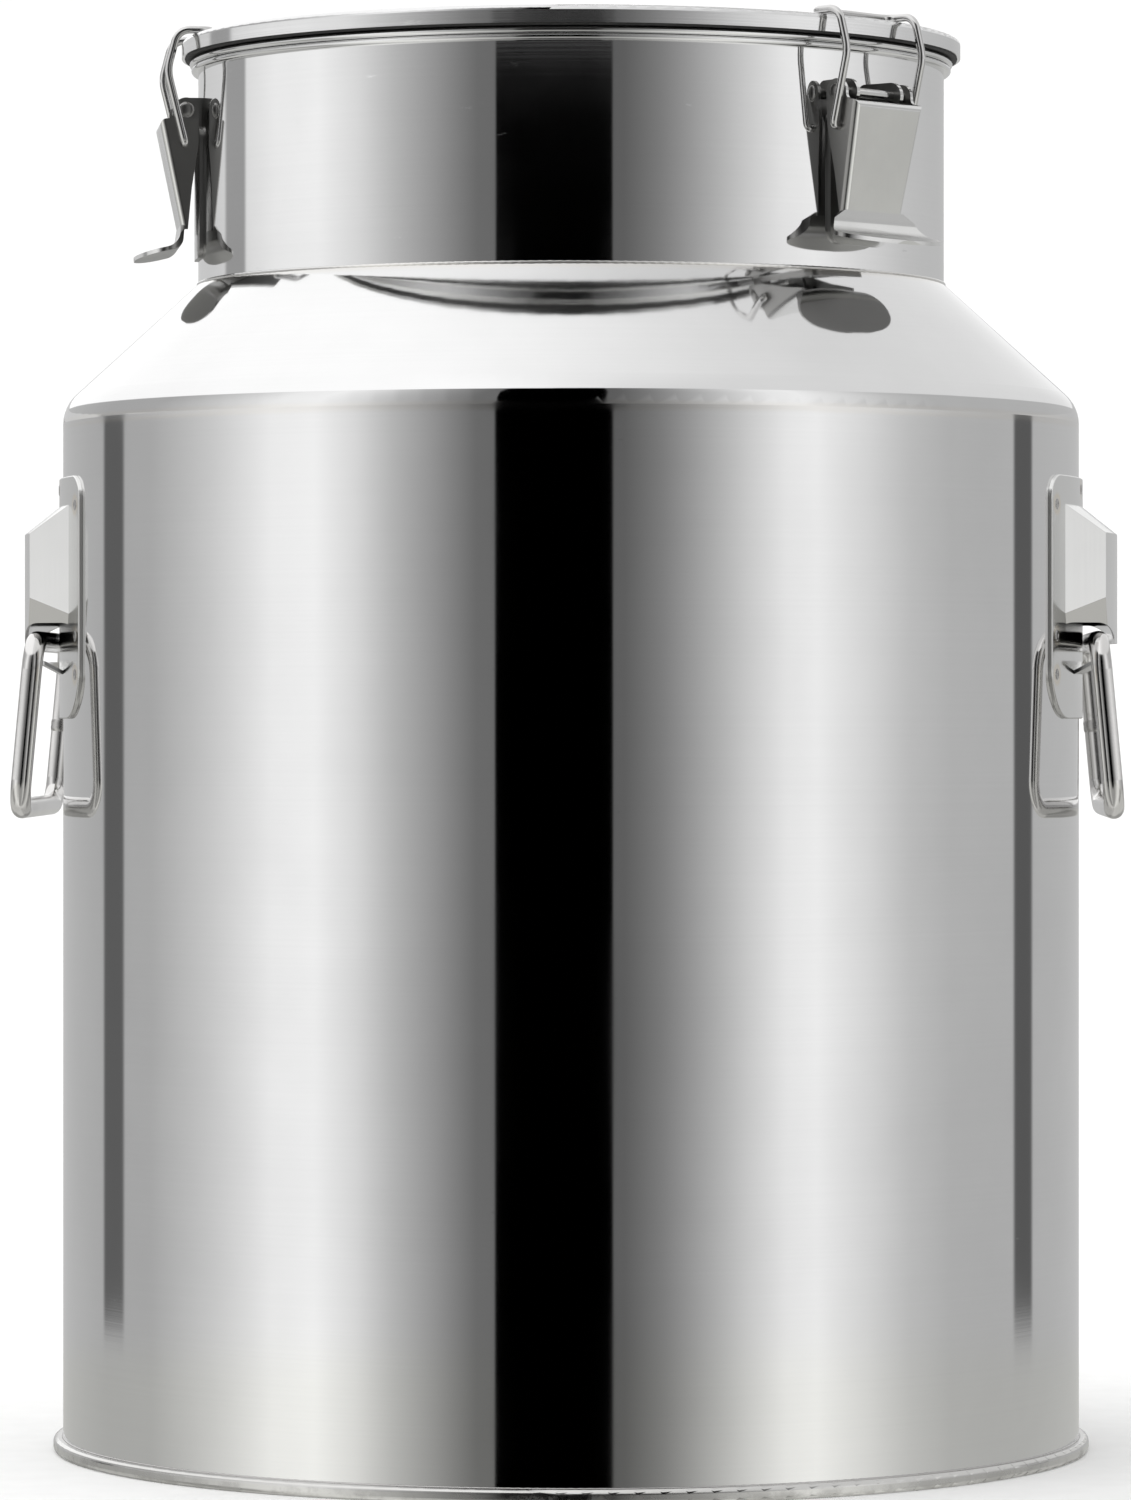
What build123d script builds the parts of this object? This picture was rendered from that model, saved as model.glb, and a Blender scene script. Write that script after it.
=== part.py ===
from build123d import *
import math
import os

# Stainless steel milk can, 60 litre size. Millimetres, +Z up.
# The origin is the middle of the foot, and the two handles lie along the X axis.

# Shell of the can
SHEET = 1.5                    # can wall thickness
BODY_RADIUS = 200.0
FOOT_RADIUS = 203.8
FOOT_HEIGHT = 5.4
FOOT_EDGE = 1.8                # rounding of the rolled foot
BOTTOM_LEVEL = 9.5             # underside of the recessed bottom plate at its edge
BOTTOM_RISE = 1.6              # crown in its middle
BOTTOM_RISE_RADIUS = 100.0
BOTTOM_BEND = 20.0
BODY_TOP = 402.0               # seam between body wall and shoulder
SHOULDER_ROUNDING = 15.5
CONE_SLOPE = 42.4              # degrees above horizontal
NECK_RADIUS = 147.0
NECK_BASE = 457.7
MOUTH_BASE = 540.6
MOUTH_TOP = 545.6
MOUTH_RADIUS = 150.4
LOWER_BEAD_INSET = 0.7         # the lower bead is this much narrower

# Lid
LID_SHEET = 1.2
LID_RADIUS = 153.5
LID_BASE = 546.6               # lower edge of the lid's band
LID_TOP = 553.4
LID_ROUNDING = 1.9
DISH_RADIUS = 140.6            # inner wall of the dish pressed into the lid
DISH_FLOOR = 543.6
RIB_RADIUS = 104.0             # outer edge of the stiffening rib's top
RIB_RISE = 3.0
RIB_SLOPE = 8.0                # how far the rib's outer side reaches
RIB_WIDTH = 12.0
RIB_STEP = 6.0                 # how far its inner side reaches
RIB_DROP = 2.0
DOME_RISE = 3.4
DOME_FLAT_RADIUS = 30.0
DISH_BENDS = (2.0, 3.0, 6.0, 6.0, 4.0, 6.0, 60.0)
SEAL_BASE = 545.9
SEAL_CLEARANCE = 0.2

# Handles
ROD_RADIUS = 4.0
RING_WIDTH = 124.0             # between the middles of the two legs
RING_HEIGHT = 65.0             # between the middles of the two bars
RING_BEND = 11.0
RING_PIVOT_X = 205.6
RING_PIVOT_Z = 317.0
RING_LEAN = 5.3                # degrees that the hanging ring stands outward

# Handle brackets
PLATE_ANGLE = 22.0             # half of the arc that the bracket plate covers
PLATE_TOP = 381.0
PLATE_SIDE_BASE = 299.0
PLATE_MIDDLE_BASE = 287.0
PLATE_CORNER = 20.0            # upper corners
PLATE_LOWER_CORNER = 10.0
PLATE_EDGE = 0.6               # rounding of the plate's outer edge
HOOD_RADIUS = 215.0
HOOD_TOP = 371.0
HOOD_CORNER = 359.0
HOOD_BASE = 316.5
HOOD_ROOT_HALF_WIDTH = 60.0    # where the drafted side walls meet the body
HOOD_FACE_HALF_WIDTH = 52.5    # where they meet the outer face
CREASE_FACE_Z = 334.0          # the side walls lean inward below this crease
CREASE_ROOT_Z = 327.0
CREASE_INSET = 5.0             # how far they lean in down to the rod
ROD_NOTCH_RADIUS = 7.2
NOTCH_INNER_X = 196.0
LIP_RADIUS = 208.6
LIP_BASE = 303.5
LIP_RISE = 4.5
LIP_HALF_WIDTH = 46.0

# Latches, drawn with X outward, Y along the rim
LATCH_AZIMUTHS = (-40.0, 74.0, 188.0)   # degrees from +X, seen from above
PIN_X = 152.8
PIN_Z = 524.3
PIN_RADIUS = 2.0
PIN_HALF_LENGTH = 20.5
PIN_CHAMFER = 0.4
RUNNING_FIT = 0.05
BRACKET_HALF_WIDTH = 17.0
BRACKET_BASE = 467.0
BRACKET_TOP = 519.0
BRACKET_CORNER = 6.0
EAR_RADIUS = 5.2
EAR_BASE = 511.8
EAR_BASE_RISE = 2.0
EAR_INNER = 12.0
EAR_OUTER = 13.8
LEVER_SHEET = 1.5
LEVER_TOP_X = 163.4
LEVER_TOP_Z = 520.9
LEVER_LEAN = 11.5              # degrees of the web from vertical
LEVER_TOP_HALF_WIDTH = 20.0
LEVER_BASE_HALF_WIDTH = 17.3
LEVER_BASE_Z = 478.0
LEVER_EDGE_RADIUS = 2.5
CHEEK_EAR_RADIUS = 4.8
CHEEK_NARROW_X = 150.6         # inner edge of the cheek where it starts to narrow
CHEEK_NARROW_Z = 494.0
CHEEK_BASE_DEPTH = 2.6
TAB_CORNER_X = 155.6           # where the oval thumb tab turns outward
TAB_CORNER_Z = 471.5
TAB_TIP_X = 172.5
TAB_TIP_Z = 467.8
TAB_BEND = 7.0
TAB_HALF_WIDTH = 29.0
TAB_FLARE_Z = 473.5            # the flare from the web reaches full width here
TAB_MIDDLE_X = 161.5           # widest part of the oval
BAIL_PIVOT_X = 153.3
BAIL_PIVOT_Z = 511.0
WIRE_RADIUS = 1.5
BAIL_HALF_WIDTH = 22.4
BAIL_END_Y = 16.8
BAIL_BOW_X = 160.3
BAIL_BOW_Z = 539.5
BAIL_TOP_X = 156.2
BAIL_TOP_Z = 555.2
CROSSBAR_X = 143.2


def unit(vector):
    length = math.hypot(*vector)
    return vector[0] / length, vector[1] / length


def offset_corner(before, corner, after, distance):
    """Corner of the line that runs `distance` to the left of before-corner-after."""
    ax, ay = unit((corner[0] - before[0], corner[1] - before[1]))
    bx, by = unit((after[0] - corner[0], after[1] - corner[1]))
    half = (1 + ax * bx + ay * by) / distance
    return corner[0] - (ay + by) / half, corner[1] + (ax + bx) / half


def side_offset(points, distance):
    """The open line through points, moved `distance` to its left."""
    first_ahead = (2 * points[0][0] - points[1][0], 2 * points[0][1] - points[1][1])
    last_ahead = (2 * points[-1][0] - points[-2][0], 2 * points[-1][1] - points[-2][1])
    padded = [first_ahead, *points, last_ahead]
    return [offset_corner(*padded[i:i + 3], distance) for i in range(len(points))]


def sheet_face(points, radii, thickness):
    """Section of a bent sheet that lies to the left of the line through points."""
    inner_points = side_offset(points, thickness)
    inner_radii = []
    for i, radius in enumerate(radii):
        a, b, c = points[i:i + 3]
        turn = (b[0] - a[0]) * (c[1] - b[1]) - (b[1] - a[1]) * (c[0] - b[0])
        inner_radii.append(radius - math.copysign(thickness, turn))
    outer = FilletPolyline(*points, radius=radii)
    inner = FilletPolyline(*inner_points, radius=inner_radii)
    ends = [Line(points[0], inner_points[0]), Line(points[-1], inner_points[-1])]
    return Plane.XZ * make_face([*outer.edges(), *inner.edges(), *ends])


def turned(face):
    """Full turn of an XZ face about the vertical axis."""
    return revolve(face, axis=Axis.Z, revolution_arc=360)


def tube(outer, inner, base, top):
    ring = Circle(outer) - Circle(inner)
    return Pos(0, 0, base) * extrude(ring, top - base)


def prism_across(face_xz, half_width):
    """An XZ face drawn out to both sides along Y."""
    return extrude(face_xz, half_width, both=True)


def polygon_xz(*points):
    return Plane.XZ * make_face(Polyline(*points, close=True))


def bent_rod(points, radii, rod_radius):
    path = FilletPolyline(*points, radius=radii)
    section = (path ^ 0) * Circle(rod_radius)
    return sweep(section, path=path)


def body_wall():
    return tube(BODY_RADIUS, BODY_RADIUS - SHEET, FOOT_HEIGHT, BODY_TOP)


def shoulder_cone():
    slope = math.tan(math.radians(CONE_SLOPE))
    corner_z = NECK_BASE - (BODY_RADIUS - NECK_RADIUS) * slope
    line = [(BODY_RADIUS, BODY_TOP), (BODY_RADIUS, corner_z), (NECK_RADIUS, NECK_BASE)]
    section = sheet_face(line, [SHOULDER_ROUNDING], SHEET)
    outside_neck = tube(BODY_RADIUS + 1, NECK_RADIUS, BODY_TOP, NECK_BASE + SHEET)
    return turned(section) & outside_neck


def neck_band():
    cone_edge = SHEET / math.cos(math.radians(CONE_SLOPE))
    return tube(NECK_RADIUS, NECK_RADIUS - SHEET, NECK_BASE - cone_edge, MOUTH_BASE)


def bead(outer_radius, height, bead_radius):
    """Half-round bead on the end of a web that starts at the neck's inside."""
    inner = NECK_RADIUS - SHEET
    middle = outer_radius - bead_radius
    web = Pos((inner + middle) / 2, height) * Rectangle(middle - inner, 2 * bead_radius)
    return web + Pos(middle, height) * Circle(bead_radius)


def mouth_ring():
    """Two rolled beads, the upper one a little wider."""
    radius = (MOUTH_TOP - MOUTH_BASE) / 4
    lower = bead(MOUTH_RADIUS - LOWER_BEAD_INSET, MOUTH_BASE + radius, radius)
    upper = bead(MOUTH_RADIUS, MOUTH_TOP - radius, radius)
    return turned(Plane.XZ * (lower + upper))


def bottom_plate():
    """Recessed plate, crowned a little in the middle."""
    inside = BODY_RADIUS - SHEET
    slope_radius = BOTTOM_RISE_RADIUS + BOTTOM_BEND
    crown = BOTTOM_LEVEL + BOTTOM_RISE
    line = [(inside, BOTTOM_LEVEL), (slope_radius, BOTTOM_LEVEL),
            (BOTTOM_RISE_RADIUS, crown), (0.0, crown)]
    return turned(sheet_face(line, [BOTTOM_BEND, BOTTOM_BEND], -SHEET))


def foot_ring():
    inner = BODY_RADIUS - SHEET
    section = Pos((inner + FOOT_RADIUS) / 2, FOOT_HEIGHT / 2) * RectangleRounded(
        FOOT_RADIUS - inner, FOOT_HEIGHT, FOOT_EDGE)
    return turned(Plane.XZ * section)


def lid_line():
    """Upper surface of the lid, from the band's lower edge to the middle."""
    rib_top = DISH_FLOOR + RIB_RISE
    dome_base = rib_top - RIB_DROP
    return [
        (LID_RADIUS, LID_BASE),
        (LID_RADIUS, LID_TOP),
        (DISH_RADIUS, LID_TOP),
        (DISH_RADIUS, DISH_FLOOR),
        (RIB_RADIUS + RIB_SLOPE, DISH_FLOOR),
        (RIB_RADIUS, rib_top),
        (RIB_RADIUS - RIB_WIDTH, rib_top),
        (RIB_RADIUS - RIB_WIDTH - RIB_STEP, dome_base),
        (DOME_FLAT_RADIUS, dome_base + DOME_RISE),
        (0.0, dome_base + DOME_RISE),
    ]


def lid_shell():
    return turned(sheet_face(lid_line(), [LID_ROUNDING, *DISH_BENDS], LID_SHEET))


def lid_gasket():
    """Ring that fills the channel between the lid's band and its dish."""
    inner = DISH_RADIUS + LID_SHEET + SEAL_CLEARANCE
    outer = LID_RADIUS - LID_SHEET - SEAL_CLEARANCE
    top = LID_TOP - LID_SHEET - SEAL_CLEARANCE
    section = Pos((inner + outer) / 2, (SEAL_BASE + top) / 2) * Rectangle(
        outer - inner, top - SEAL_BASE)
    upper_corners = section.vertices().sort_by(Axis.Y)[-2:]
    return turned(Plane.XZ * fillet(upper_corners, LID_ROUNDING - LID_SHEET + SEAL_CLEARANCE))


def sector(solid, half_angle, reach):
    """The part of a solid within half_angle of the +X direction."""
    half_width = reach * math.tan(math.radians(half_angle))
    wedge = make_face(Polyline((0, 0), (reach, -half_width), (reach, half_width), close=True))
    return solid & extrude(wedge, 2 * MOUTH_TOP, both=True)


def on_cylinder(edge, radius):
    """True for an edge that lies on the upright cylinder of this radius."""
    points = [edge.position_at(share) for share in (0, 0.5, 1)]
    return all(abs(math.hypot(point.X, point.Y) - radius) < RUNNING_FIT for point in points)


def bracket_plate():
    """Curved plate that lies on the body, with round shoulders and a shallow V below."""
    plate = sector(tube(BODY_RADIUS + SHEET, BODY_RADIUS, PLATE_MIDDLE_BASE, PLATE_TOP),
                   PLATE_ANGLE, 2 * BODY_RADIUS)
    side = BODY_RADIUS * math.sin(math.radians(PLATE_ANGLE))
    lower = FilletPolyline(
        (-side, PLATE_TOP), (-side, PLATE_SIDE_BASE), (0, PLATE_MIDDLE_BASE),
        (side, PLATE_SIDE_BASE), (side, PLATE_TOP), radius=PLATE_LOWER_CORNER, close=True)
    upper = FilletPolyline(
        (-side, PLATE_MIDDLE_BASE), (-side, PLATE_TOP), (side, PLATE_TOP),
        (side, PLATE_MIDDLE_BASE), radius=PLATE_CORNER, close=True)
    outline = make_face(lower) + make_face(upper)
    plate = plate & extrude(Plane.YZ * outline, 2 * BODY_RADIUS)
    return fillet([e for e in plate.edges() if on_cylinder(e, BODY_RADIUS + SHEET)], PLATE_EDGE)


def hood_sides():
    """Plan points of the hood's side wall, at its root and at the outer face."""
    root_x = math.sqrt(BODY_RADIUS ** 2 - HOOD_ROOT_HALF_WIDTH ** 2)
    corner_x = math.sqrt(HOOD_RADIUS ** 2 - HOOD_FACE_HALF_WIDTH ** 2)
    return (root_x, HOOD_ROOT_HALF_WIDTH), (corner_x, HOOD_FACE_HALF_WIDTH)


def crease_cut(block, side, thickness):
    """Takes off what stands outside the leaning lower part of one side wall."""
    (root_x, root_y), (corner_x, corner_y) = hood_sides()
    root = Vector(root_x, side * (root_y - thickness), CREASE_ROOT_Z)
    corner = Vector(corner_x, side * (corner_y - thickness), CREASE_FACE_Z)
    down = Vector(0, -side * CREASE_INSET, RING_PIVOT_Z - CREASE_FACE_Z)
    outward = (corner - root).cross(down) * side
    return split(block, bisect_by=Plane(origin=root, z_dir=outward), keep=Keep.BOTTOM)


def hood_block(thickness):
    """Outer form of the hood, or its inside when a sheet thickness is taken off."""
    face_x = HOOD_RADIUS - thickness
    profile = polygon_xz(
        (0, HOOD_TOP - thickness), (BODY_RADIUS, HOOD_TOP - thickness),
        (face_x, HOOD_CORNER - thickness / 2), (face_x, LIP_BASE), (0, LIP_BASE))
    (root_x, root_y), (corner_x, corner_y) = hood_sides()
    draft = (root_y - corner_y) / (corner_x - root_x)
    near_x = BODY_RADIUS - HOOD_ROOT_HALF_WIDTH / 2
    far_x = HOOD_RADIUS + 1
    near_y = root_y + draft * (root_x - near_x) - thickness
    far_y = corner_y - draft * (far_x - corner_x) - thickness
    plan = make_face(Polyline((near_x, -near_y), (far_x, -far_y), (far_x, far_y),
                              (near_x, near_y), close=True))
    block = turned(profile) & (Pos(0, 0, LIP_BASE) * extrude(plan, HOOD_TOP - LIP_BASE))
    for side in (-1, 1):
        block = crease_cut(block, side, thickness)
    return block


def rod_notch():
    """Space round the handle's rod, open downward, that arches through the hood's walls."""
    height = RING_PIVOT_Z - LIP_BASE + 2 * ROD_NOTCH_RADIUS
    width = RING_PIVOT_X - NOTCH_INNER_X
    middle_x = (RING_PIVOT_X + NOTCH_INNER_X) / 2
    arch = (Pos(RING_PIVOT_X, RING_PIVOT_Z) * Circle(ROD_NOTCH_RADIUS)
            + Pos(NOTCH_INNER_X, RING_PIVOT_Z) * Circle(ROD_NOTCH_RADIUS)
            + Pos(middle_x, RING_PIVOT_Z) * Rectangle(width, 2 * ROD_NOTCH_RADIUS)
            + Pos(middle_x, RING_PIVOT_Z - height / 2) * Rectangle(
                width + 2 * ROD_NOTCH_RADIUS, height))
    return prism_across(Plane.XZ * arch, HOOD_RADIUS)


def lip():
    """Lower lip, bent outward from the plate under the rod."""
    profile = polygon_xz(
        (BODY_RADIUS, LIP_BASE), (LIP_RADIUS, LIP_BASE + LIP_RISE),
        (LIP_RADIUS, LIP_BASE + LIP_RISE + SHEET), (BODY_RADIUS, LIP_BASE + SHEET))
    half_angle = math.degrees(math.asin(LIP_HALF_WIDTH / LIP_RADIUS))
    return sector(turned(profile), half_angle, 2 * BODY_RADIUS)


def handle_bracket():
    body = extrude(Circle(BODY_RADIUS), 2 * MOUTH_TOP)
    below_face = Pos(0, 0, LIP_BASE) * extrude(
        Circle(2 * HOOD_RADIUS) - Circle(HOOD_RADIUS - 2 * SHEET), HOOD_BASE - LIP_BASE)
    hood = hood_block(0) - hood_block(SHEET) - rod_notch() - below_face
    return (hood + bracket_plate() + lip()) - body


def handle_ring():
    """Closed ring of round rod, hanging from its pivot and leaning outward."""
    side = RING_WIDTH / 2
    halves = []
    for sign in (-1, 1):
        points = [(0, 0, 0), (0, sign * side, 0), (0, sign * side, -RING_HEIGHT),
                  (0, 0, -RING_HEIGHT)]
        halves.append(bent_rod(points, [RING_BEND, RING_BEND], ROD_RADIUS))
    ring = halves[0] + halves[1]
    return Pos(RING_PIVOT_X, 0, RING_PIVOT_Z) * Rot(0, -RING_LEAN, 0) * ring


def pin_hole(radius):
    return prism_across(Plane.XZ * (Pos(PIN_X, PIN_Z) * Circle(radius)), 2 * PIN_HALF_LENGTH)


def latch_bracket():
    """Plate on the neck with two ears that hold the lever's pin."""
    half_angle = math.degrees(math.asin(BRACKET_HALF_WIDTH / NECK_RADIUS))
    plate = sector(tube(NECK_RADIUS + SHEET, NECK_RADIUS, BRACKET_BASE, BRACKET_TOP),
                   half_angle, 2 * NECK_RADIUS)
    outline = Pos(0, (BRACKET_BASE + BRACKET_TOP) / 2) * RectangleRounded(
        2 * BRACKET_HALF_WIDTH, BRACKET_TOP - BRACKET_BASE, BRACKET_CORNER)
    plate = plate & extrude(Plane.YZ * outline, 2 * NECK_RADIUS)
    root_x = NECK_RADIUS - SHEET
    profile = make_face(Polyline(
        (root_x, EAR_BASE), (PIN_X, EAR_BASE + EAR_BASE_RISE), (PIN_X + EAR_RADIUS, PIN_Z),
        (PIN_X, PIN_Z + EAR_RADIUS), (root_x, PIN_Z + EAR_RADIUS), close=True))
    profile = Plane.XZ * (profile + Pos(PIN_X, PIN_Z) * Circle(EAR_RADIUS))
    ears = prism_across(profile, EAR_OUTER) - prism_across(profile, EAR_INNER)
    neck = extrude(Circle(NECK_RADIUS), 2 * MOUTH_TOP)
    return (plate + ears) - neck - pin_hole(PIN_RADIUS)


def latch_pin():
    shaft = pin_hole(PIN_RADIUS) & Box(
        4 * PIN_X, 2 * PIN_HALF_LENGTH, 4 * PIN_Z)
    ends = shaft.edges().filter_by(GeomType.CIRCLE)
    return chamfer(ends, PIN_CHAMFER)


def web_x(z):
    """Outer face of the lever's web at a height."""
    return LEVER_TOP_X - (LEVER_TOP_Z - z) * math.tan(math.radians(LEVER_LEAN))


def lever_taper(inset):
    """Front outline of the lever, narrowing downward, as a block across the whole depth."""
    top = LEVER_TOP_HALF_WIDTH - inset
    base = LEVER_BASE_HALF_WIDTH - inset
    high = PIN_Z + 2 * CHEEK_EAR_RADIUS
    outline = make_face(Polyline(
        (-base, LEVER_BASE_Z), (base, LEVER_BASE_Z), (top, LEVER_TOP_Z), (top, high),
        (-top, high), (-top, LEVER_TOP_Z), close=True))
    return extrude(Plane.YZ * outline, 2 * PIN_X)


def lever_channel():
    """Web and two cheeks, with an eye for the pin at the top of each cheek."""
    eye_right = PIN_X + CHEEK_EAR_RADIUS
    eye_left = PIN_X - CHEEK_EAR_RADIUS
    cheek = make_face(Polyline(
        (LEVER_TOP_X, LEVER_TOP_Z), (eye_right, LEVER_TOP_Z), (eye_right, PIN_Z),
        (eye_left, PIN_Z), (eye_left, BAIL_PIVOT_Z), (CHEEK_NARROW_X, CHEEK_NARROW_Z),
        (web_x(LEVER_BASE_Z) - CHEEK_BASE_DEPTH, LEVER_BASE_Z),
        (web_x(LEVER_BASE_Z), LEVER_BASE_Z), close=True))
    cheek = Plane.XZ * (cheek + Pos(PIN_X, PIN_Z) * Circle(CHEEK_EAR_RADIUS))
    block = prism_across(cheek, LEVER_TOP_HALF_WIDTH) & lever_taper(0)
    half_height = (LEVER_TOP_Z - LEVER_BASE_Z) / 2
    web_corners = [e for e in block.edges()
                   if e.length > half_height and e.center().X > PIN_X + 2 * PIN_RADIUS]
    block = fillet(web_corners, LEVER_EDGE_RADIUS)
    step = LEVER_SHEET / math.cos(math.radians(LEVER_LEAN))
    high = PIN_Z + 2 * CHEEK_EAR_RADIUS
    low = LEVER_BASE_Z - CHEEK_EAR_RADIUS
    behind_web = polygon_xz((web_x(high) - step, high), (0, high), (0, low),
                            (web_x(low) - step, low))
    return block - (prism_across(behind_web, LEVER_TOP_HALF_WIDTH) & lever_taper(LEVER_SHEET))


def lever_tab():
    """Oval thumb tab: the web carries on down, flares and turns outward."""
    top_z = LEVER_BASE_Z + SHEET
    low_z = TAB_TIP_Z - TAB_BEND
    line = [(web_x(top_z), top_z), (TAB_CORNER_X, TAB_CORNER_Z), (TAB_TIP_X, TAB_TIP_Z)]
    strip = prism_across(sheet_face(line, [TAB_BEND], -LEVER_SHEET), TAB_HALF_WIDTH)
    oval = Pos(TAB_MIDDLE_X, 0) * Ellipse(TAB_TIP_X - TAB_MIDDLE_X, TAB_HALF_WIDTH)
    root = Pos(TAB_MIDDLE_X / 2, 0) * Rectangle(TAB_MIDDLE_X, 2 * LEVER_BASE_HALF_WIDTH)
    front = make_face(Polyline(
        (-LEVER_BASE_HALF_WIDTH, top_z), (-TAB_HALF_WIDTH, TAB_FLARE_Z),
        (-TAB_HALF_WIDTH, low_z), (TAB_HALF_WIDTH, low_z), (TAB_HALF_WIDTH, TAB_FLARE_Z),
        (LEVER_BASE_HALF_WIDTH, top_z), close=True))
    return strip & extrude(oval + root, top_z) & extrude(Plane.YZ * front, TAB_TIP_X)


def latch_lever():
    lever = lever_channel() + lever_tab()
    bail_holes = prism_across(
        Plane.XZ * (Pos(BAIL_PIVOT_X, BAIL_PIVOT_Z) * Circle(WIRE_RADIUS + RUNNING_FIT)),
        2 * LEVER_TOP_HALF_WIDTH)
    return lever - pin_hole(PIN_RADIUS + RUNNING_FIT) - bail_holes


def latch_bail():
    """Wire from one cheek, over the lid's rim and back to the other cheek."""
    leg = [(BAIL_PIVOT_X, BAIL_PIVOT_Z), (BAIL_BOW_X, BAIL_BOW_Z), (BAIL_TOP_X, BAIL_TOP_Z),
           (CROSSBAR_X, BAIL_TOP_Z)]
    near = [(x, -BAIL_HALF_WIDTH, z) for x, z in leg]
    far = [(x, BAIL_HALF_WIDTH, z) for x, z in reversed(leg)]
    first = (BAIL_PIVOT_X, -BAIL_END_Y, BAIL_PIVOT_Z)
    last = (BAIL_PIVOT_X, BAIL_END_Y, BAIL_PIVOT_Z)
    bends = [2.2, 15.0, 6.0, 4.5]
    return bent_rod([first, *near, *far, last], bends + bends[::-1], WIRE_RADIUS)


def write(name, solid):
    export_step(solid, f"parts/{name}.step")


os.makedirs("parts", exist_ok=True)

for make in (body_wall, shoulder_cone, neck_band, mouth_ring, bottom_plate, foot_ring,
             lid_shell, lid_gasket):
    write(make.__name__, make())

for side_name, angle in (("right", 0), ("left", 180)):
    write(f"handle_bracket_{side_name}", Rot(0, 0, angle) * handle_bracket())
    write(f"handle_ring_{side_name}", Rot(0, 0, angle) * handle_ring())

for number, azimuth in enumerate(LATCH_AZIMUTHS, start=1):
    for make in (latch_bracket, latch_pin, latch_lever, latch_bail):
        write(f"{make.__name__}_{number}", Rot(0, 0, azimuth) * make())
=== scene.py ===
import math

import bmesh
import bpy
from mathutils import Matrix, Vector


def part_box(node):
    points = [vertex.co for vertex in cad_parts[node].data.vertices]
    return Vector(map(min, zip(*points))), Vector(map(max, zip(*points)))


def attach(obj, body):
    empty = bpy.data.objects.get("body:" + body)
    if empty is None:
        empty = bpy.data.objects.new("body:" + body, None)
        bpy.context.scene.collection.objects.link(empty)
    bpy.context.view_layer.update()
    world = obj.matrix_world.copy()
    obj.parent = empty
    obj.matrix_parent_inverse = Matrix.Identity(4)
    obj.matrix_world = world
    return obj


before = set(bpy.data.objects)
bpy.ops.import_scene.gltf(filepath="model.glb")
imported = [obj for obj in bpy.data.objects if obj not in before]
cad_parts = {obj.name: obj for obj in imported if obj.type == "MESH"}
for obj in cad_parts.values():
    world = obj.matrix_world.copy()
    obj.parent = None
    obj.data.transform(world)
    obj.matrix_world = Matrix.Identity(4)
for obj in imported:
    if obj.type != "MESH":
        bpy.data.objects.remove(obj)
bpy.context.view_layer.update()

# Sizes of the can in metres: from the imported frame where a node's box gives them.
BODY_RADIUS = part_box("body_wall")[1].x
BODY_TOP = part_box("body_wall")[1].z
NECK_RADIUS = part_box("neck_band")[1].x
SHOULDER_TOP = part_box("shoulder_cone")[1].z
FOOT_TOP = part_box("foot_ring")[1].z
PLATE_RADIUS = 0.2015          # outer face of a handle bracket's plate
PLATE_RIM = 0.0012             # matt cut edge at the plate's two upright sides
PLATE_EDGE_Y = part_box("handle_bracket_right")[1].y - PLATE_RIM
ROD_RADIUS = 0.004
RING_LEG_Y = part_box("handle_ring_right")[1].y - ROD_RADIUS
RING_PIVOT = (0.2056, 0.317)   # distance from the can's axis, height
RING_LEAN = math.radians(5.3)  # how far a hanging ring leans outward
RING_WELD_DOWN = 0.033         # the butt weld's distance down the rear leg from the pivot
LEVER_HALF_WIDTH = 0.02005
SUNK = 0.00005                 # how deep the base of a spot weld lies in its plate

# Spot welds of a handle bracket: (distance from the middle, height).
WELD_MARKS = ((0.0695, 0.3695), (0.0695, 0.319), (0.0695, 0.304), (0.024, 0.3765))

# Profiles of small turned pieces: (place along the axis, radius).
WELD_PROFILE = ((0.0, 0.0023), (0.00026, 0.0018), (0.0003, 0.0013), (0.00014, 0.0007),
                (0.0001, 0.0003))
RIVET_PROFILE = ((0.0, 0.0032), (0.0003, 0.0031), (0.0007, 0.0026), (0.00098, 0.0017),
                 (0.0011, 0.0007))
RING_WELD_PROFILE = ((-0.0026, 0.0039), (-0.002, 0.00418), (-0.001, 0.0043), (0.0, 0.00424),
                     (0.001, 0.00431), (0.002, 0.00419), (0.0026, 0.0039))

# Camera: level, in front of the can and a little to its right.
CAMERA_DISTANCE = 2.7
CAMERA_HEIGHT = 0.29
CAMERA_TURN = math.radians(2.0)
LENS_MM = 164.1
SENSOR_MM = 36.0
SHIFT_X = -0.0037
SHIFT_Y = -0.026

# Studio, as the can's mirror surfaces see it. Elevations are in degrees.
STUDIO_LEVEL = 1.24            # brightness of the walls, so that steel shows them at their own grey
DISPLAY_GAMMA = 2.2
EDGE_SOFT = 0.2                # softness of an edge between two zones
FLOOR_EDGE = -5.3              # below this the mirror sees the floor
FLOOR_FADE = (-7.3, -16.0)     # the floor takes on its own grey between these
FLOOR_GREY = 0.84
FLOOR_SHARE = (0.8, 0.55)      # their product is the share of its grey that the floor takes on
FLOOR_TINT = (1.0, 1.0, 0.965, 1.0)
TINT_SOFT = 0.3
FAR_FLOOR = (-44.0, -13.0)     # zone of the dark strips that lie on the floor
FAR_FLOOR_SOFT = 3.0
NECK_VIEW = (3.0, 6.4)         # the neck sees this zone
CARD_GAP = (5.68, 6.6)         # the lid's band sees a grey gap in the black card
CARD_GAP_SOFT = 0.04
CARD_FOOT = (-30.0, -6.8)      # the black card fades out between these on the floor
CEILING_START = 6.3            # no wall ends lower than this
CEILING_SOFT = 0.5
CEILING_GREYS = (-0.35, 0.45, 1.0, 0.84)  # from x, to x, grey at the first, grey at the second
WALL_TOP_TILT = 0.385          # sine of the tilt at which a surface sees the walls' top edge
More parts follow.
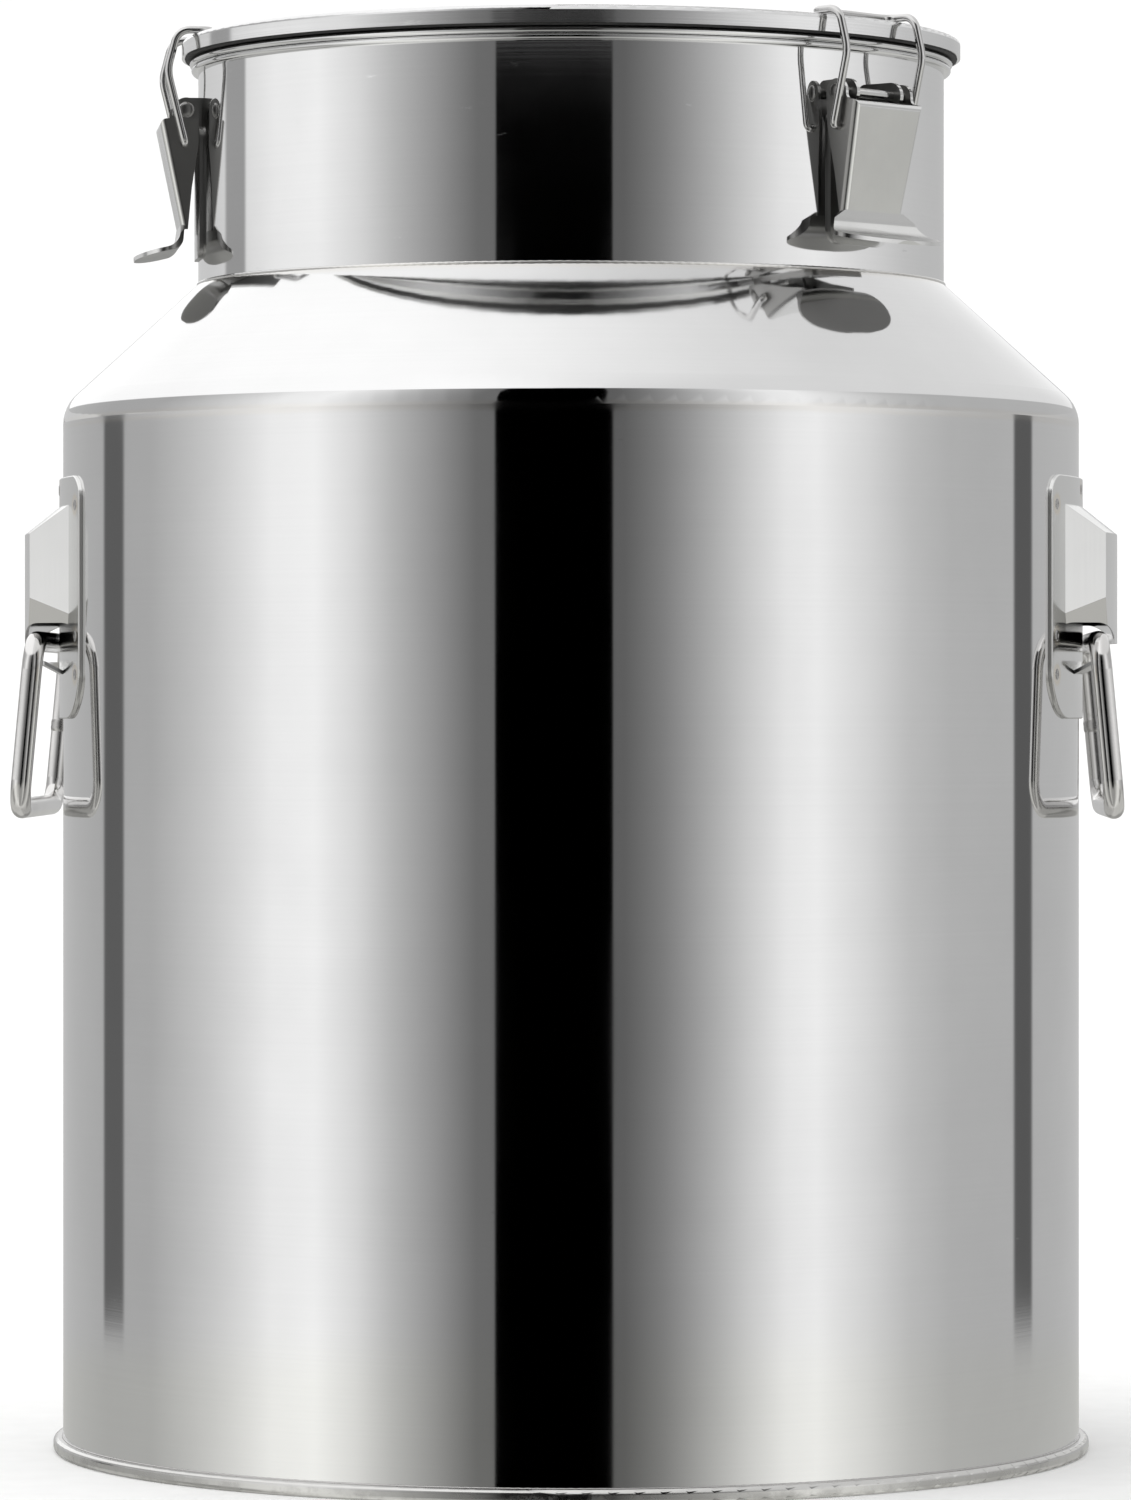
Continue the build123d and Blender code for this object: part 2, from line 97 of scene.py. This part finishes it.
WALL_TOP_SOFT = 0.006


class Graph:
    """Short calls that add shader nodes to a tree.

    An input may be a number, a colour or a socket.
    """

    def __init__(self, tree):
        self.tree = tree
        tree.nodes.clear()

    def node(self, kind, inputs=(), **settings):
        made = self.tree.nodes.new(kind)
        for key, value in settings.items():
            setattr(made, key, value)
        for key, value in dict(inputs).items():
            self.plug(made.inputs[key], value)
        return made

    def plug(self, socket, value):
        if isinstance(value, bpy.types.NodeSocket):
            self.tree.links.new(value, socket)
        else:
            socket.default_value = value

    def math(self, operation, *values):
        return self.node("ShaderNodeMath", enumerate(values), operation=operation).outputs[0]

    def vector_math(self, operation, *values):
        made = self.node("ShaderNodeVectorMath", enumerate(values), operation=operation)
        return made.outputs[1 if operation in ("LENGTH", "DOT_PRODUCT") else 0]

    def split(self, vector):
        return self.node("ShaderNodeSeparateXYZ", {0: vector}).outputs

    def join(self, x, y, z):
        return self.node("ShaderNodeCombineXYZ", {0: x, 1: y, 2: z}).outputs[0]

    def step(self, value, start, end, low=0.0, high=1.0):
        """Smooth step of value from low at start to high at end."""
        made = self.node("ShaderNodeMapRange",
                         {0: value, 1: start, 2: end, 3: low, 4: high},
                         interpolation_type="SMOOTHSTEP")
        return made.outputs[0]

    def band(self, value, low, high, soft):
        """One between low and high, and zero outside, with soft edges."""
        rise = self.step(value, low - soft, low + soft)
        fall = self.step(value, high - soft, high + soft, 1.0, 0.0)
        return self.math("MULTIPLY", rise, fall)

    def mix(self, factor, a, b):
        return self.node("ShaderNodeMix", {0: factor, 2: a, 3: b}, data_type="FLOAT").outputs[0]

    def mix_colour(self, factor, a, b, blend="MIX"):
        made = self.node("ShaderNodeMix", {0: factor, 6: a, 7: b}, data_type="RGBA",
                         blend_type=blend)
        return made.outputs[2]

    def noise(self, vector, scale, detail=2.0, roughness=0.5, **settings):
        made = self.node("ShaderNodeTexNoise",
                         {"Vector": vector, "Scale": scale, "Detail": detail,
                          "Roughness": roughness}, **settings)
        return made.outputs[0]

    def ramp(self, value, stops, interpolation="LINEAR"):
        made = self.node("ShaderNodeValToRGB", {0: value})
        made.color_ramp.interpolation = interpolation
        elements = made.color_ramp.elements
        while len(elements) < len(stops):
            elements.new(0.5)
        for element, (place, colour) in zip(elements, stops):
            element.position = place
            element.color = colour if isinstance(colour, tuple) else (colour, colour, colour, 1.0)
        return made.outputs[0]


# ---------------------------------------------------------------- studio

# Greys of the studio walls against the place on the can where they are seen,
# from the left edge (-1) to the right edge (1).
WALL_GREYS = (
    (-1.00, 0.69), (-0.90, 0.65), (-0.81, 0.66), (-0.69, 0.79), (-0.575, 0.93), (-0.49, 0.95),
    (-0.41, 0.85), (-0.34, 0.71), (-0.26, 0.575), (-0.18, 0.42), (0.10, 0.37), (0.175, 0.49),
    (0.255, 0.645), (0.335, 0.79), (0.41, 0.905), (0.47, 0.935), (0.57, 0.84), (0.65, 0.745),
    (0.73, 0.69), (0.81, 0.68), (0.90, 0.68), (1.00, 0.69),
)
# Dark strips before the walls, at places on the same scale: (from, to, grey).
BLACK_CARD = (-0.144, 0.079, 0.0)
SIDE_FLAGS = ((-0.906, -0.866, 0.36), (0.857, 0.893, 0.34))
NECK_FLAG = (-0.674, -0.634, 0.585)
FLOOR_FLAGS = ((-0.80, -0.64, 0.42), (0.60, 0.72, 0.40), (0.955, 1.01, 0.36),
               (-1.01, -0.955, 0.36))
CARD_SOFT = 0.003
FLAG_SOFT = 0.004
FLOOR_FLAG_SOFT = 0.02


def studio_world():
    """Walls, black card, flags, floor and ceiling that the mirror surfaces show."""
    world = bpy.data.worlds.new("Studio")
    world.use_nodes = True
    bpy.context.scene.world = world
    g = Graph(world.node_tree)
    toward = g.node("ShaderNodeTexCoord").outputs["Generated"]
    x, y, z = g.split(toward)
    turn = g.math("SUBTRACT", g.math("ARCTAN2", x, g.math("MULTIPLY", y, -1.0)), CAMERA_TURN)
    place = g.math("SINE", g.math("MULTIPLY", turn, 0.5))
    elevation = g.math("DEGREES", g.math("ARCSINE", z))
    on_neck = g.band(elevation, *NECK_VIEW, EDGE_SOFT)
    reach = g.mix(on_neck, 1.0, NECK_RADIUS / BODY_RADIUS)
    seen = g.math("MULTIPLY", place, reach)

    def darken(grey, strip, soft, zone):
        """Lays a dark strip over grey inside a zone."""
        low, high, dark = strip
        return g.mix(g.math("MULTIPLY", g.band(seen, low, high, soft), zone), grey, dark)

    stops = [((p + 1) / 2, grey) for p, grey in WALL_GREYS]
    grey = g.ramp(g.math("MULTIPLY_ADD", seen, 0.5, 0.5), stops)
    on_walls = g.band(elevation, FLOOR_EDGE + EDGE_SOFT, NECK_VIEW[0], EDGE_SOFT)
    for flag in SIDE_FLAGS:
        grey = darken(grey, flag, FLAG_SOFT, on_walls)
    grey = darken(grey, NECK_FLAG, FLAG_SOFT, on_neck)
    far_floor = g.band(elevation, *FAR_FLOOR, FAR_FLOOR_SOFT)
    for flag in FLOOR_FLAGS:
        grey = darken(grey, flag, FLOOR_FLAG_SOFT, far_floor)
    most, share = FLOOR_SHARE
    floor_depth = g.step(elevation, *FLOOR_FADE, 0.0, most)
    grey = g.mix(g.math("MULTIPLY", floor_depth, share), grey, FLOOR_GREY)
    card_low = g.step(elevation, *CARD_FOOT)
    card_high = g.math("SUBTRACT", 1.0, g.band(elevation, *CARD_GAP, CARD_GAP_SOFT))
    grey = darken(grey, BLACK_CARD, CARD_SOFT, g.math("MULTIPLY", card_low, card_high))

    # A mirror that shows this direction to the camera has its normal halfway between the two.
    to_camera = (math.sin(CAMERA_TURN), -math.cos(CAMERA_TURN), 0.0)
    facing = g.vector_math("DOT_PRODUCT", toward, to_camera)
    length_squared = g.math("MAXIMUM", g.math("MULTIPLY_ADD", facing, 2.0, 2.0), 0.001)
    tilt = g.math("DIVIDE", z, g.math("SQRT", length_squared))
    over_walls = g.math("MULTIPLY",
                        g.step(tilt, WALL_TOP_TILT - WALL_TOP_SOFT, WALL_TOP_TILT + WALL_TOP_SOFT),
                        g.step(elevation, CEILING_START, CEILING_START + CEILING_SOFT))
    grey = g.mix(over_walls, grey, g.step(x, *CEILING_GREYS))

    light = g.math("MULTIPLY", g.math("POWER", grey, DISPLAY_GAMMA), STUDIO_LEVEL)
    warmth = g.step(elevation, FLOOR_EDGE + EDGE_SOFT, FLOOR_EDGE - TINT_SOFT)
    tint = g.mix_colour(warmth, (1.0, 1.0, 1.0, 1.0), FLOOR_TINT)
    background = g.node("ShaderNodeBackground", {"Color": tint, "Strength": light})
    g.node("ShaderNodeOutputWorld", {"Surface": background.outputs[0]})


def floor_material():
    """Pale paper with a faint grain."""
    material = bpy.data.materials.new("studio_paper")
    material.use_nodes = True
    g = Graph(material.node_tree)
    spot = g.node("ShaderNodeTexCoord").outputs["Object"]
    grain = g.noise(spot, 60.0, 3.0)
    grey = g.ramp(grain, [(0.3, (0.90, 0.90, 0.895, 1.0)), (0.7, (0.93, 0.93, 0.925, 1.0))])
    bsdf = g.node("ShaderNodeBsdfPrincipled", {"Base Color": grey, "Roughness": 0.9,
                                               "Specular IOR Level": 0.1})
    g.node("ShaderNodeOutputMaterial", {"Surface": bsdf.outputs[0]})
    return material


# The floor is flat as far as FLAT_REACH, then rises as a parabola out to the last ring.
FLAT_REACH = 6.0
FLAT_RADII = [0.5, 1.0, 2.0, 4.0, FLAT_REACH]
RISE_STEP = 0.5
RISE_RINGS = 20
RISE_DIVISOR = 16
FLOOR_SEGMENTS = 96


def cyclorama():
    """Pale floor that rises gently into a backdrop all round."""
    mesh = bpy.data.meshes.new("studio_floor")
    b = bmesh.new()
    rise_radii = [FLAT_REACH + RISE_STEP * i for i in range(1, RISE_RINGS + 1)]
    rings = []
    for radius in FLAT_RADII + rise_radii:
        height = max(radius - FLAT_REACH, 0.0) ** 2 / RISE_DIVISOR
        ring = []
        for i in range(FLOOR_SEGMENTS):
            angle = 2 * math.pi * i / FLOOR_SEGMENTS
            ring.append(b.verts.new((radius * math.cos(angle), radius * math.sin(angle), height)))
        rings.append(ring)
    b.faces.new(rings[0])
    for inner, outer in zip(rings, rings[1:]):
        for i in range(FLOOR_SEGMENTS):
            j = (i + 1) % FLOOR_SEGMENTS
            b.faces.new((inner[i], outer[i], outer[j], inner[j]))
    for face in b.faces:
        face.smooth = True
    b.to_mesh(mesh)
    b.free()
    mesh.materials.append(floor_material())
    floor = bpy.data.objects.new("studio_floor", mesh)
    bpy.context.scene.collection.objects.link(floor)
    floor.visible_glossy = False


LAMP_ENERGY = 0.9
LAMP_ANGLE = math.radians(70)
LAMP_LEAN = (math.radians(12), math.radians(-10), 0)


def studio_lamp():
    """Large soft overhead light that the mirror surfaces don't show."""
    lamp = bpy.data.lights.new("overhead", "SUN")
    lamp.energy = LAMP_ENERGY
    lamp.angle = LAMP_ANGLE
    made = bpy.data.objects.new("overhead", lamp)
    bpy.context.scene.collection.objects.link(made)
    made.rotation_euler = LAMP_LEAN
    made.visible_glossy = False


def camera():
    """The scene's camera, level and turned with its place round the can."""
    data = bpy.data.cameras.new("camera")
    data.lens = LENS_MM
    data.sensor_width = SENSOR_MM
    data.shift_x = SHIFT_X
    data.shift_y = SHIFT_Y
    made = bpy.data.objects.new("camera", data)
    bpy.context.scene.collection.objects.link(made)
    made.location = (CAMERA_DISTANCE * math.sin(CAMERA_TURN),
                     -CAMERA_DISTANCE * math.cos(CAMERA_TURN), CAMERA_HEIGHT)
    made.rotation_euler = (math.radians(90), 0, CAMERA_TURN)
    bpy.context.scene.camera = made


# ---------------------------------------------------------------- materials

def around(g, spot):
    """Cylindrical coordinates about the can's axis: angle in radians, radius, height."""
    x, y, z = g.split(spot)
    radius = g.vector_math("LENGTH", g.join(x, y, 0.0))
    return g.math("ARCTAN2", y, x), radius, z


def near_marks(g, spot, marks, reach):
    """One at the marks, fading to zero at reach. Marks are (distance from the XZ plane, height)."""
    _, y, z = g.split(spot)
    side = g.math("ABSOLUTE", y)
    nearest = None
    for across, height in marks:
        gap = g.vector_math("LENGTH", g.join(g.math("SUBTRACT", side, across),
                                             g.math("SUBTRACT", z, height), 0.0))
        nearest = gap if nearest is None else g.math("MINIMUM", nearest, gap)
    return g.step(nearest, 0.0, reach, 1.0, 0.0)


def stretched(g, coordinates, scales):
    """Coordinates multiplied one by one: a small scale draws the pattern out along that one."""
    return g.join(*(g.math("MULTIPLY", value, scale) for value, scale in zip(coordinates, scales)))


# Scales of the patterns, per metre or per radian.
ROUND_LINES = (0.6, 900.0, 900.0)      # angle, radius, height
UPRIGHT_LINES = (900.0, 900.0, 14.0)   # x, y, z
LONG_SCRATCHES = (8.0, 60.0, 260.0)    # angle, radius, height
CROSS_SCRATCHES = (160.0, 40.0, 30.0)


def polish_pattern(g, spot, grain):
    """Fine polishing lines: round the can, or upright."""
    if grain == "round":
        lined = stretched(g, around(g, spot), ROUND_LINES)
    else:
        lined = stretched(g, g.split(spot), UPRIGHT_LINES)
    return g.noise(lined, 1.0, 3.0, 0.6)


def scratch_pattern(g, spot):
    """Sparse fine scratches and handling marks, zero where the noise is below its threshold."""
    place = around(g, spot)
    along = g.step(g.noise(stretched(g, place, LONG_SCRATCHES), 1.0, 6.0, 0.75), 0.66, 0.74)
    across = g.step(g.noise(stretched(g, place, CROSS_SCRATCHES), 1.0, 5.0, 0.7), 0.7, 0.76)
    return g.math("MAXIMUM", along, g.math("MULTIPLY", across, 0.6))


HEAT_STRAW = (0.78, 0.66, 0.47, 1.0)
HEAT_BLUE = (0.50, 0.53, 0.62, 1.0)
BLUE_SHARE = 0.8


def heat_tint(g, tone, amount, strength):
    """Straw at the edge of a weld's heat, turning blue-grey close to it."""
    outer = g.math("MULTIPLY", g.band(amount, 0.25, 0.75, 0.2), strength)
    inner = g.math("MULTIPLY", g.step(amount, 0.6, 0.95), strength * BLUE_SHARE)
    tone = g.mix_colour(outer, tone, HEAT_STRAW)
    return g.mix_colour(inner, tone, HEAT_BLUE)


GRAIN_COLOUR = (0.55, 0.55, 0.56, 1.0)
SCUFF_COLOUR = (0.34, 0.33, 0.31, 1.0)
SMUDGE_DARK = 0.94             # how dark a smudge leaves the colour
SCRATCH_ROUGH = 0.05           # the roughness that each effect adds at most
INSIDE_ROUGH = 0.14
UNDER_ROUGH = 0.1
SHELL_HEAT_ROUGH = 0.06
MARK_HEAT_ROUGH = 0.12
SEAM_ROUGH = 0.22
SCUFF_ROUGH = 0.22
EDGE_ROUGH = 0.28
SHELL_HEAT = 0.1               # the strength of weld tint
MARK_HEAT = 0.4
SEAM_HEAT = 0.45
SHELL_HEAT_HALF = 0.0012       # the reach of weld tint and of the seam, in metres
SHELL_HEAT_SOFT = 0.0022
MARK_REACH = 0.0062
SEAM_HALO = 0.007
SEAM_LINE = (0.0006, 0.0016)
MATT_SOFT = 0.0008


def steel(name, colour, rough_low, rough_high, smudge_scale=9.0, lines=0.25, wave=0.0,
          grain="round", grain_tone=0.12, weld_heights=(), marks=(), back_seam=False,
          painted_inner_shade_colour=None, painted_under_shade_colour=None, scuff_below=None, matt_beyond=None):
    """Stainless steel: polishing lines, smudges, scratches, waviness, weld heat, wear and painted
    shade.

    The inner and under colours are painted shade: they darken faces that are turned to or across
    the can's axis, and faces that look down, in place of the dark reflections there. The other
    options add wear at the places that they name.
    """
    material = bpy.data.materials.new(name)
    material.use_nodes = True
    g = Graph(material.node_tree)
    coordinates = g.node("ShaderNodeTexCoord").outputs
    spot = coordinates["Object"]
    x, y, z = g.split(spot)

    def roughen(rough, amount, most):
        return g.math("ADD", rough, g.math("MULTIPLY", amount, most))

    smudge = g.noise(spot, smudge_scale, 4.0, 0.6)
    polish = polish_pattern(g, spot, grain)
    scratch = scratch_pattern(g, spot)
    amount = g.math("ADD", g.math("MULTIPLY", g.step(smudge, 0.35, 0.7), 0.6),
                    g.math("MULTIPLY", polish, 0.4))
    rough = roughen(g.mix(amount, rough_low, rough_high), scratch, SCRATCH_ROUGH)
    dark = tuple(c * SMUDGE_DARK for c in colour) + (1.0,)
    tone = g.mix_colour(g.step(smudge, 0.3, 0.75), colour + (1.0,), dark)
    tone = g.mix_colour(g.math("MULTIPLY", polish, grain_tone), tone, GRAIN_COLOUR)
    # Painted shade: faces turned to or across the can's axis take a darker colour and are rougher,
    # standing in for the dark reflections inside the levers.
    if painted_inner_shade_colour:
        radial = g.vector_math("NORMALIZE", g.join(x, y, 0.0))
        facing = g.vector_math("DOT_PRODUCT", coordinates["Normal"], radial)
        painted_inner_shade_mask = g.step(facing, 0.75, 0.35)
        tone = g.mix_colour(painted_inner_shade_mask, tone, painted_inner_shade_colour + (1.0,))
        rough = roughen(rough, painted_inner_shade_mask, INSIDE_ROUGH)
    # Painted shade: faces that look down take a darker colour and are rougher, standing in for the
    # dark reflections under the brackets.
    if painted_under_shade_colour:
        painted_under_shade_mask = g.step(g.split(coordinates["Normal"])[2], -0.1, -0.26)
        tone = g.mix_colour(painted_under_shade_mask, tone, painted_under_shade_colour + (1.0,))
        rough = roughen(rough, painted_under_shade_mask, UNDER_ROUGH)
    for height in weld_heights:
        near = g.band(z, height - SHELL_HEAT_HALF, height + SHELL_HEAT_HALF, SHELL_HEAT_SOFT)
        heat = g.math("MULTIPLY", near, g.step(smudge, 0.25, 0.6, 0.55, 1.0))
        tone = heat_tint(g, tone, heat, SHELL_HEAT)
        rough = roughen(rough, heat, SHELL_HEAT_ROUGH)
    if marks:
        heat = near_marks(g, spot, marks, MARK_REACH)
        tone = heat_tint(g, tone, heat, MARK_HEAT)
        rough = roughen(rough, heat, MARK_HEAT_ROUGH)
    if back_seam:
        behind = g.step(y, 0.0, 0.02)
        across = g.math("ABSOLUTE", x)
        halo = g.math("MULTIPLY", g.step(across, 0.0, SEAM_HALO, 1.0, 0.0), behind)
        tone = heat_tint(g, tone, halo, SEAM_HEAT)
        line = g.math("MULTIPLY", g.step(across, *SEAM_LINE, 1.0, 0.0), behind)
        rough = roughen(rough, line, SEAM_ROUGH)
    if scuff_below is not None:
        low = g.step(z, scuff_below, scuff_below * 0.35)
        patchy = g.step(g.noise(spot, 55.0, 5.0, 0.7), 0.42, 0.62)
        scuff = g.math("MULTIPLY", low, patchy)
        tone = g.mix_colour(g.math("MULTIPLY", scuff, 0.3), tone, SCUFF_COLOUR)
        rough = roughen(rough, scuff, SCUFF_ROUGH)
    if matt_beyond is not None:
        edge = g.step(g.math("ABSOLUTE", y), matt_beyond, matt_beyond + MATT_SOFT)
        rough = roughen(rough, edge, EDGE_ROUGH)
    height_map = g.math("MULTIPLY_ADD", scratch, -0.3, g.math("MULTIPLY", polish, lines))
    bump = g.node("ShaderNodeBump", {"Strength": 0.05, "Distance": 0.0002, "Height": height_map})
    if wave:
        ripple = g.noise(spot, 14.0, 1.0, 0.4)
        bump = g.node("ShaderNodeBump", {"Strength": wave, "Distance": 0.002, "Height": ripple,
                                         "Normal": bump.outputs[0]})
    bsdf = g.node("ShaderNodeBsdfPrincipled", {"Base Color": tone, "Metallic": 1.0,
                                               "Roughness": rough, "Normal": bump.outputs[0]})
    g.node("ShaderNodeOutputMaterial", {"Surface": bsdf.outputs[0]})
    return material


def rubber():
    """Dark, slightly speckled rubber of the lid's seal."""
    material = bpy.data.materials.new("seal_rubber_finish")
    material.use_nodes = True
    g = Graph(material.node_tree)
    spot = g.node("ShaderNodeTexCoord").outputs["Object"]
    speckle = g.noise(spot, 700.0, 3.0)
    tone = g.ramp(speckle, [(0.3, (0.012, 0.012, 0.012, 1.0)), (0.75, (0.035, 0.034, 0.033, 1.0))])
    rough = g.step(speckle, 0.2, 0.8, 0.5, 0.72)
    bump = g.node("ShaderNodeBump", {"Strength": 0.2, "Distance": 0.0003, "Height": speckle})
    bsdf = g.node("ShaderNodeBsdfPrincipled", {"Base Color": tone, "Roughness": rough,
                                               "Normal": bump.outputs[0]})
    g.node("ShaderNodeOutputMaterial", {"Surface": bsdf.outputs[0]})
    return material


MIRROR_GREY = (0.80, 0.80, 0.80)
MIRROR = steel("mirror_steel", MIRROR_GREY, 0.03, 0.065, lines=0.12, wave=0.006,
               back_seam=True, weld_heights=(BODY_TOP,))
SHOULDER = steel("shoulder_steel", MIRROR_GREY, 0.03, 0.07, lines=0.12, wave=0.006,
                 weld_heights=(SHOULDER_TOP, BODY_TOP))
LID = steel("lid_steel", MIRROR_GREY, 0.07, 0.15, lines=0.5, wave=0.006, grain_tone=0.3)
# The bracket steel's darker colour for undersides is painted shade for the dark reflections beneath
# them.
BRACKET = steel("bracket_steel", (0.80, 0.80, 0.79), 0.10, 0.18, wave=0.02, grain="upright",
                marks=WELD_MARKS, matt_beyond=PLATE_EDGE_Y, painted_under_shade_colour=(0.48, 0.475, 0.465))
FOOT = steel("foot_steel", (0.66, 0.655, 0.64), 0.10, 0.2, wave=0.01, scuff_below=FOOT_TOP)
ROD = steel("rod_steel", (0.74, 0.73, 0.72), 0.09, 0.19, smudge_scale=40.0, wave=0.01)
# The latch steel's darker inner colour is painted shade for the dark reflections inside the lever.
LATCH = steel("latch_steel_finish", (0.80, 0.80, 0.79), 0.13, 0.22, smudge_scale=30.0,
              wave=0.01, grain="upright", painted_inner_shade_colour=(0.36, 0.357, 0.35))
WIRE = steel("wire_steel_finish", (0.66, 0.655, 0.65), 0.12, 0.22, smudge_scale=50.0)
WELD = steel("weld_steel", (0.52, 0.51, 0.50), 0.18, 0.34, smudge_scale=120.0, lines=0.0,
             wave=0.15)

FINISHES = (
    ("body_wall", MIRROR), ("shoulder_cone", SHOULDER), ("neck_band", MIRROR),
    ("mouth_ring", LID), ("lid_shell", LID), ("bottom_plate", BRACKET), ("foot_ring", FOOT),
    ("handle_bracket", BRACKET), ("handle_ring", ROD), ("latch_bracket", LATCH),
    ("latch_pin", LATCH), ("latch_lever", LATCH), ("latch_bail", WIRE), ("lid_gasket", rubber()),
)


def finish_nodes():
    """Gives each CAD node its finish."""
    for node_name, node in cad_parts.items():
        for prefix, finish in FINISHES:
            if node_name.startswith(prefix):
                for material_slot in node.material_slots:
                    material_slot.material = finish


# ---------------------------------------------------------------- small pieces

def add_piece(name, build, body, material):
    """A mesh piece that rides on a body. build fills an empty bmesh."""
    mesh = bpy.data.meshes.new(name)
    b = bmesh.new()
    build(b)
    bmesh.ops.recalc_face_normals(b, faces=b.faces)
    for face in b.faces:
        face.smooth = True
    b.to_mesh(mesh)
    b.free()
    mesh.materials.append(material)
    made = bpy.data.objects.new(name, mesh)
    bpy.context.scene.collection.objects.link(made)
    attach(made, body)


def bridge(b, rings, closed=False):
    """Faces between neighbouring rings of vertices."""
    following = rings[1:] + rings[:1] if closed else rings[1:]
    for one, other in zip(rings, following):
        count = len(one)
        for i in range(count):
            j = (i + 1) % count
            b.faces.new((one[i], one[j], other[j], other[i]))


def turned_rings(b, centre, axis, profile, segments=24):
    """Rings of vertices about an axis. profile holds (place along the axis, radius)."""
    turn = axis.to_track_quat("Z", "Y").to_matrix()
    rings = []
    for along, radius in profile:
        ring = []
        for i in range(segments):
            angle = 2 * math.pi * i / segments
            spot = Vector((radius * math.cos(angle), radius * math.sin(angle), along))
            ring.append(b.verts.new(centre + turn @ spot))
        rings.append(ring)
    bridge(b, rings)
    return rings


def button(b, centre, outward, profile):
    """Low turned button on a surface, closed at its top."""
    b.faces.new(turned_rings(b, centre, outward, profile)[-1])


def weld_marks(side):
    """Spot welds of one handle bracket, each a low ring with a dimple."""
    def build(b):
        for across, height in WELD_MARKS:
            for y in (-across, across):
                outward = Vector((side * math.sqrt(PLATE_RADIUS ** 2 - y * y), y, 0)).normalized()
                centre = outward * (PLATE_RADIUS - SUNK) + Vector((0, 0, height))
                button(b, centre, outward, WELD_PROFILE)
    return build


BEAD_SEGMENTS = 720
BEAD_SIDES = 8
RIPPLE = 0.12                  # swell of the bead's passes, as a share of its size
SWAY = (0.08, 7.3)             # slower swell: share of the size, waves per turn


def bead(radius, height, size, ripples):
    """Weld bead round the can with the slight ripple of its passes."""
    def build(b):
        sway, waves = SWAY
        rings = []
        for i in range(BEAD_SEGMENTS):
            angle = 2 * math.pi * i / BEAD_SEGMENTS
            swell = size * (1 + RIPPLE * math.sin(ripples * angle) + sway * math.sin(waves * angle))
            ring = []
            for k in range(BEAD_SIDES):
                turn = 2 * math.pi * k / BEAD_SIDES
                reach = radius + swell * math.cos(turn)
                ring.append(b.verts.new((reach * math.cos(angle), reach * math.sin(angle),
                                         height + swell * math.sin(turn))))
            rings.append(ring)
        bridge(b, rings, closed=True)
    return build


def collar(centre, axis, profile):
    """Barrel round a rod."""
    def build(b):
        turned_rings(b, centre, axis, profile)
    return build


def rivet_heads(number):
    """Domed heads on both ends of a latch pin."""
    low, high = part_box(f"latch_pin_{number}")
    middle = (low + high) / 2
    outward = Vector((middle.x, middle.y, 0)).normalized()
    along = Vector((-outward.y, outward.x, 0))

    def build(b):
        for sign in (-1, 1):
            button(b, middle + along * sign * LEVER_HALF_WIDTH, along * sign, RIVET_PROFILE)
    return build


NECK_BEAD = (0.0006, 260)      # size of the bead, ripples per turn
FOOT_BEAD = (0.0005, 330)


def small_pieces():
    """Welds and rivet heads, which are meshes only."""
    for side, name in ((1, "right"), (-1, "left")):
        add_piece(f"spot_welds_{name}", weld_marks(side), "can", WELD)
        down_leg = Vector((side * math.sin(RING_LEAN), 0, -math.cos(RING_LEAN)))
        pivot = Vector((side * RING_PIVOT[0], RING_LEG_Y, RING_PIVOT[1]))
        middle = pivot + down_leg * RING_WELD_DOWN
        add_piece(f"ring_weld_{name}", collar(middle, down_leg, RING_WELD_PROFILE),
                  f"handle_{name}", WELD)
    for number in (1, 2, 3):
        add_piece(f"rivet_heads_{number}", rivet_heads(number), "can", LATCH)
    add_piece("neck_weld", bead(NECK_RADIUS, SHOULDER_TOP, *NECK_BEAD), "can", SHOULDER)
    add_piece("foot_weld", bead(BODY_RADIUS, FOOT_TOP, *FOOT_BEAD), "can", WELD)


studio_world()
cyclorama()
studio_lamp()
camera()
finish_nodes()
small_pieces()
bpy.context.scene.view_settings.view_transform = "Standard"
